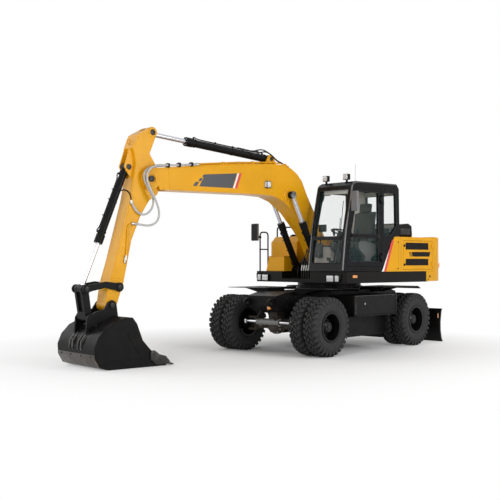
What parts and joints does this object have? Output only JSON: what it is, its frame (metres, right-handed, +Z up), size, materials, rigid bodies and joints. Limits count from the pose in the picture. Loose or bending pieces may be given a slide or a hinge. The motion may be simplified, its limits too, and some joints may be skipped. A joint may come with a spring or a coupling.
{
  "type": "wheeled excavator",
  "caption": "Wheeled excavator with twin wheels, steered front axle, dozer blade, slewing upper structure with cab, boom, arm and bucket; door, hood and side doors open.",
  "frame": {"origin": "on the ground, under the middle of the machine's outline at rest", "axes": "+X forwards, towards the working arm; +Y to the machine's left, where the cab is; +Z up"},
  "size_m": [7.9703, 2.8722, 3.9219],
  "materials": {
    "yellow_paint": "semi-gloss",
    "black_paint": "satin",
    "dark_paint": "satin",
    "worn_steel": "worn",
    "chrome": "polished",
    "tyre": "matt",
    "tinted_glass": "clear, slightly tinted",
    "grey_interior": "matt",
    "engine_iron": "painted"
  },
  "bodies": {
    "chassis": {"chassis_frame": "dark_paint", "slew_ring": "dark_paint", "fenders": "dark_paint", "step_boxes": "dark_paint", "front_axle": "dark_paint", "rear_axle": "dark_paint", "gearbox_and_shafts": "dark_paint", "tow_eyes": "dark_paint", "steering_cylinder": "dark_paint"},
    "knuckle_left": {"knuckle_left": "dark_paint"},
    "knuckle_right": {"knuckle_right": "dark_paint"},
    "steering_rod": {"steering_rod": "chrome"},
    "wheel_front_left": {"tyres_front_left": "tyre", "rims_front_left": "dark_paint"},
    "wheel_front_right": {"tyres_front_right": "tyre", "rims_front_right": "dark_paint"},
    "wheel_rear_left": {"tyres_rear_left": "tyre", "rims_rear_left": "dark_paint"},
    "wheel_rear_right": {"tyres_rear_right": "tyre", "rims_rear_right": "dark_paint"},
    "blade": {"blade": "dark_paint"},
    "blade_barrels": {"blade_barrels": "dark_paint"},
    "blade_rods": {"blade_rods": "chrome"},
    "upper": {"deck": "black_paint", "boom_bracket": "dark_paint", "cab_shell": "black_paint", "cab_glass": "tinted_glass", "cab_interior": "grey_interior", "engine_housing": "yellow_paint", "raised_hood": "black_paint", "counterweight": "yellow_paint", "engine_block": "engine_iron", "tool_box": "yellow_paint", "tanks": "yellow_paint", "handrails": "black_paint", "mirrors": "black_paint", "lamps": "black_paint"},
    "door": {"door": "black_paint", "door_glass": "tinted_glass"},
    "service_door_left": {"service_door_left": "yellow_paint"},
    "service_door_right": {"service_door_right": "yellow_paint"},
    "hood": {"hood": "yellow_paint"},
    "boom": {"boom": "yellow_paint", "boom_pipes": "yellow_paint", "arm_barrel": "dark_paint"},
    "boom_barrels": {"boom_barrels": "dark_paint"},
    "boom_rods": {"boom_rods": "chrome"},
    "arm": {"arm": "yellow_paint", "bucket_barrel": "dark_paint"},
    "arm_rod": {"arm_rod": "chrome"},
    "bucket": {"bucket": "dark_paint", "bucket_teeth": "worn_steel"},
    "rocker": {"rocker": "dark_paint"},
    "link": {"link": "dark_paint"},
    "bucket_rod": {"bucket_rod": "chrome"}
  },
  "joints": [
    {"name": "slew", "type": "hinge", "parent": "chassis", "child": "upper", "pos_m": [-1.69, 0, 1.275], "axis": [0, 0, 1], "continuous": true},
    {"name": "steer_left", "type": "hinge", "parent": "chassis", "child": "knuckle_left", "pos_m": [-0.07, 0.6, 0.527], "axis": [0, 0, 1], "range_deg": [-30, 30]},
    {"name": "steer_right", "type": "hinge", "parent": "chassis", "child": "knuckle_right", "pos_m": [-0.07, -0.6, 0.527], "axis": [0, 0, 1], "range_deg": [-31, 31]},
    {"name": "steering_rod_slide", "type": "slide", "parent": "chassis", "child": "steering_rod", "axis": [0, 1, 0], "range_m": [-0.13, 0.13]},
    {"name": "spin_front_left", "type": "hinge", "parent": "knuckle_left", "child": "wheel_front_left", "pos_m": [-0.07, 0.974, 0.527], "axis": [0, 1, 0], "continuous": true},
    {"name": "spin_front_right", "type": "hinge", "parent": "knuckle_right", "child": "wheel_front_right", "pos_m": [-0.07, -0.974, 0.527], "axis": [0, 1, 0], "continuous": true},
    {"name": "spin_rear_left", "type": "hinge", "parent": "chassis", "child": "wheel_rear_left", "pos_m": [-2.92, 0.974, 0.527], "axis": [0, 1, 0], "continuous": true},
    {"name": "spin_rear_right", "type": "hinge", "parent": "chassis", "child": "wheel_rear_right", "pos_m": [-2.92, -0.974, 0.527], "axis": [0, 1, 0], "continuous": true},
    {"name": "blade_lift", "type": "hinge", "parent": "chassis", "child": "blade", "pos_m": [-3.45, 0, 0.56], "axis": [0, 1, 0], "range_deg": [-10, 30]},
    {"name": "blade_barrel_swing", "type": "hinge", "parent": "chassis", "child": "blade_barrels", "pos_m": [-3.65, 0, 1.01], "axis": [0, 1, 0], "range_deg": [-2.45, 7.34]},
    {"name": "blade_rod_slide", "type": "slide", "parent": "blade_barrels", "child": "blade_rods", "axis": [-0.2255, 0, -0.9742], "range_m": [-0.166, 0.056]},
    {"name": "boom_lift", "type": "hinge", "parent": "upper", "child": "boom", "pos_m": [-1.44888, -0.08284, 1.8], "axis": [-0.1331, -0.9911, 0], "range_deg": [-50, 42]},
    {"name": "boom_barrel_swing", "type": "hinge", "parent": "upper", "child": "boom_barrels", "pos_m": [-1.18128, -0.11878, 1.53], "axis": [-0.1331, -0.9911, 0], "range_deg": [-48.7, 40.91]},
    {"name": "boom_rod_slide", "type": "slide", "parent": "boom_barrels", "child": "boom_rods", "axis": [0.4582, -0.0615, 0.8867], "range_m": [-0.303, 0.255]},
    {"name": "arm_curl", "type": "hinge", "parent": "boom", "child": "arm", "pos_m": [2.62454, -0.62996, 3.05], "axis": [0.1331, 0.9911, 0], "range_deg": [-57, 40]},
    {"name": "arm_rod_slide", "type": "slide", "parent": "boom", "child": "arm_rod", "axis": [0.9875, -0.1326, 0.0849], "range_m": [-0.691, 0.485]},
    {"name": "bucket_dump", "type": "hinge", "parent": "arm", "child": "bucket", "pos_m": [3.35795, -0.72847, 0.98], "axis": [-0.1331, -0.9911, 0], "range_deg": [-45, 105]},
    {"name": "rocker_swing", "type": "hinge", "parent": "arm", "child": "rocker", "pos_m": [3.20929, -0.70851, 1.27], "axis": [-0.1331, -0.9911, 0], "range_deg": [-32.13, 74.97]},
    {"name": "link_swing", "type": "hinge", "parent": "rocker", "child": "link", "pos_m": [3.80395, -0.78838, 1.25], "axis": [-0.1331, -0.9911, 0], "range_deg": [-53.55, 22.95]},
    {"name": "bucket_rod_slide", "type": "slide", "parent": "arm", "child": "bucket_rod", "axis": [0.3792, -0.0509, -0.9239], "range_m": [-0.673, 0.289]},
    {"name": "cab_door", "type": "hinge", "parent": "upper", "child": "door", "pos_m": [-1.66075, 1.2694, 2.3], "axis": [0, 0, 1], "range_deg": [0, 165]},
    {"name": "service_door_left_swing", "type": "hinge", "parent": "upper", "child": "service_door_left", "pos_m": [-3.19195, 1.46801, 1.8], "axis": [0, 0, 1], "range_deg": [0, 90]},
    {"name": "service_door_right_swing", "type": "hinge", "parent": "upper", "child": "service_door_right", "pos_m": [-3.52608, -1.01965, 1.8], "axis": [0, 0, -1], "range_deg": [0, 90]},
    {"name": "hood_lift", "type": "hinge", "parent": "upper", "child": "hood", "pos_m": [-3.37883, 0.22684, 2.19], "axis": [-0.1331, -0.9911, 0], "range_deg": [0, 60]}
  ],
  "couplings": [
    {"joint": "steer_right", "follows": "steer_left", "ratio": 1},
    {"joint": "steering_rod_slide", "follows": "steer_left", "m_per_rad": 0.2387},
    {"joint": "blade_barrel_swing", "follows": "blade_lift", "ratio": 0.24},
    {"joint": "blade_rod_slide", "follows": "blade_lift", "m_per_rad": -0.31},
    {"joint": "boom_barrel_swing", "follows": "boom_lift", "ratio": 0.955},
    {"joint": "boom_rod_slide", "follows": "boom_lift", "m_per_rad": 0.34},
    {"joint": "arm_rod_slide", "follows": "arm_curl", "m_per_rad": 0.68},
    {"joint": "rocker_swing", "follows": "bucket_dump", "ratio": 0.7},
    {"joint": "link_swing", "follows": "bucket_dump", "ratio": -0.5},
    {"joint": "bucket_rod_slide", "follows": "bucket_dump", "m_per_rad": -0.36}
  ]
}
